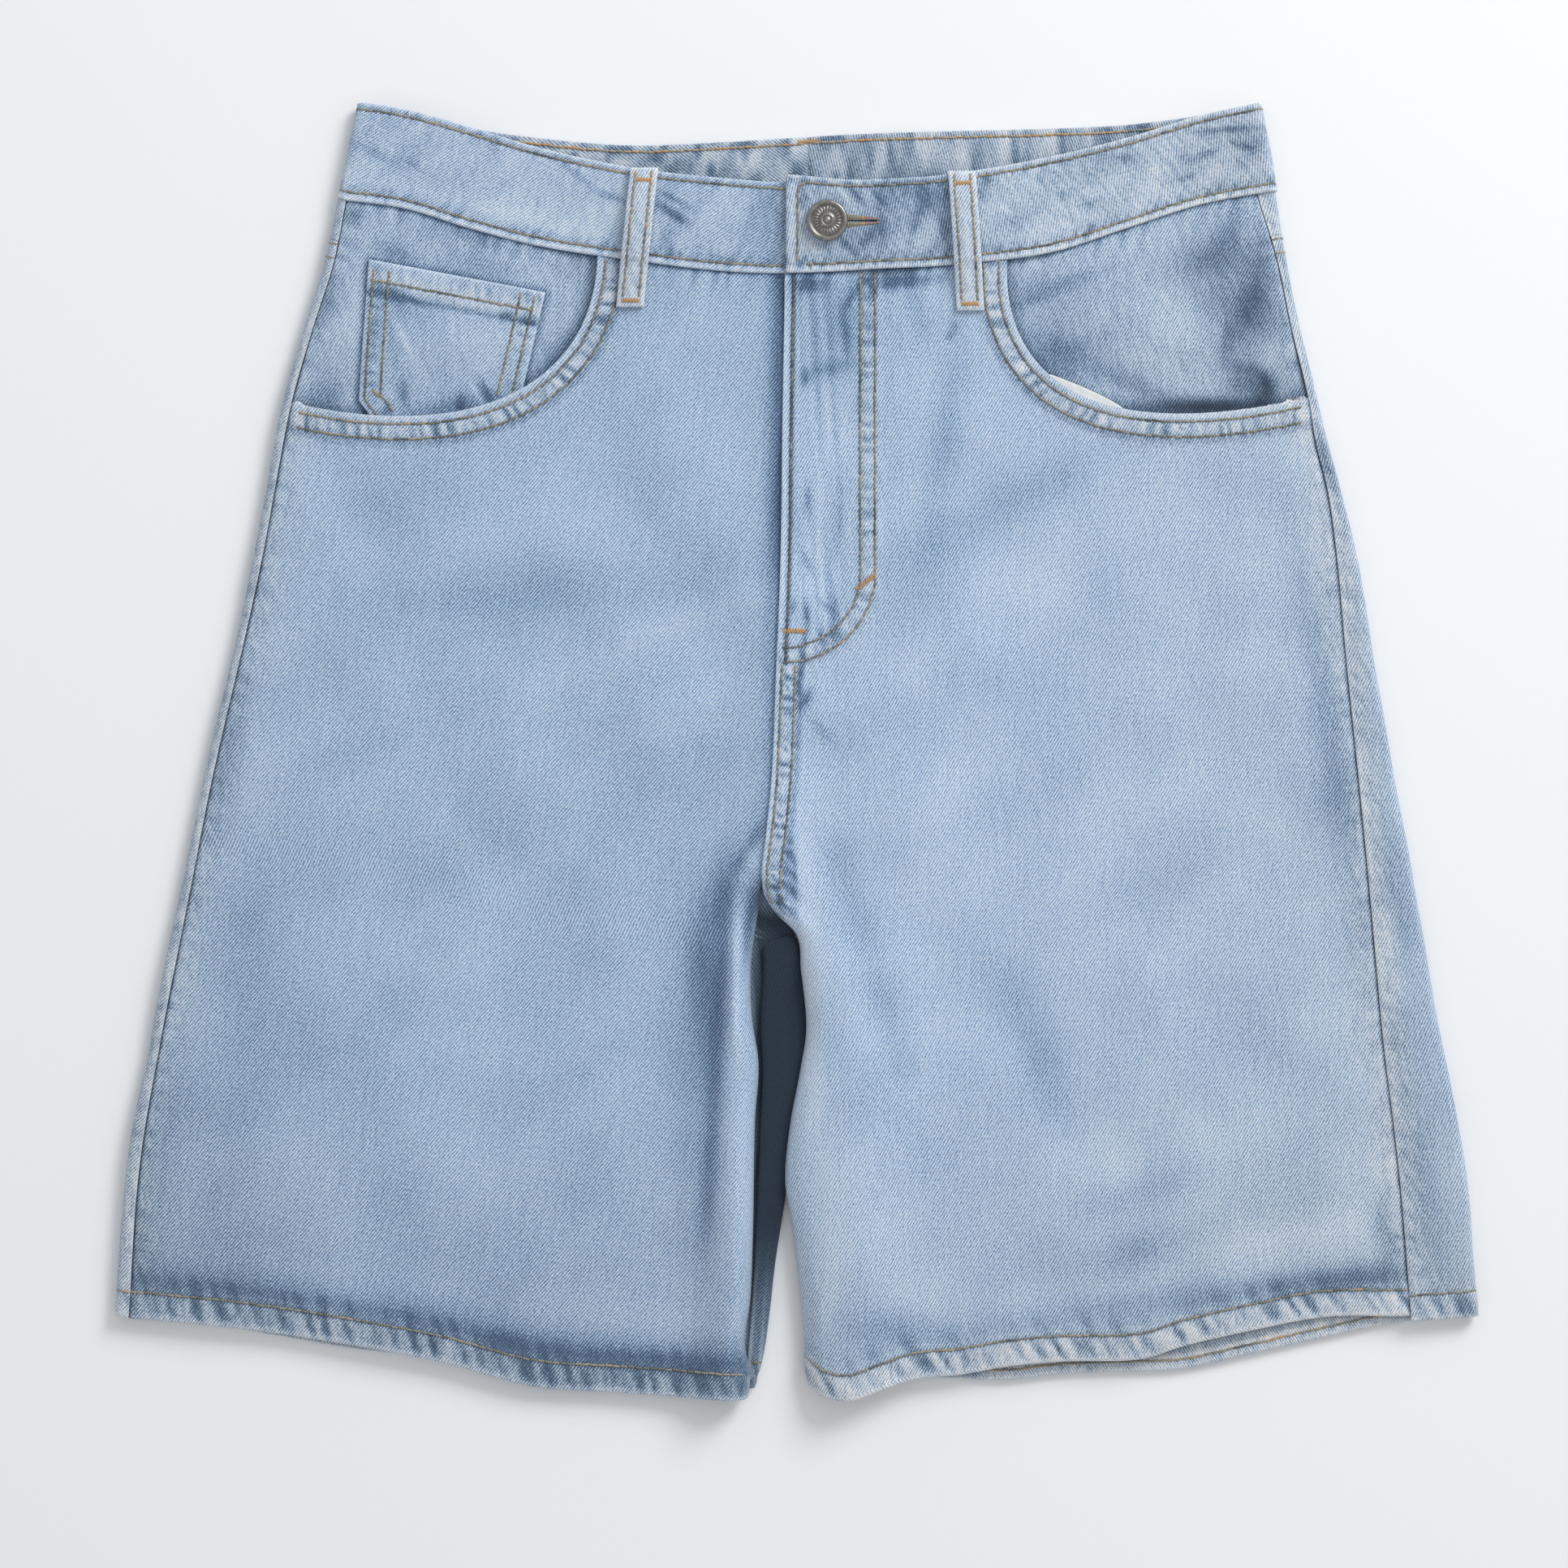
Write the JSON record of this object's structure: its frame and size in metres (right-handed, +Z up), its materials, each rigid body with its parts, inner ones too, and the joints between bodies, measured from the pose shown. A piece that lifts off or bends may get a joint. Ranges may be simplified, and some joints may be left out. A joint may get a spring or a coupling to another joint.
{
  "type": "denim shorts",
  "caption": "Loose denim shorts laid flat, front up: fastened waistband with shank button, fly, curved hip pockets, coin pocket, belt loops, back yoke and turned hems. Worn on hips and thighs.",
  "frame": {"origin": "on the surface that the shorts lie on, under the middle of their bounding box", "axes": "+X to the wearer's left, +Y to the waist, +Z up out of the surface, towards the viewer of the front"},
  "size_m": [0.5614, 0.5323, 0.0177],
  "materials": {
    "denim": "light stonewashed cotton twill, tan topstitching",
    "pocket_cotton": "plain white cotton",
    "button_metal": "antique nickel, dark in its grooves"
  },
  "bodies": {
    "root": {"front_right": "denim", "front_left": "denim", "back_right": "denim", "back_left": "denim", "yoke_right": "denim", "yoke_left": "denim", "waistband_right": "denim", "waistband_left": "denim", "facing_right": "denim", "facing_left": "denim", "coin_pocket": "denim", "belt_loop_right": "denim", "belt_loop_left": "denim", "pocket_lining_left": "pocket_cotton", "button": "button_metal"}
  },
  "joints": []
}
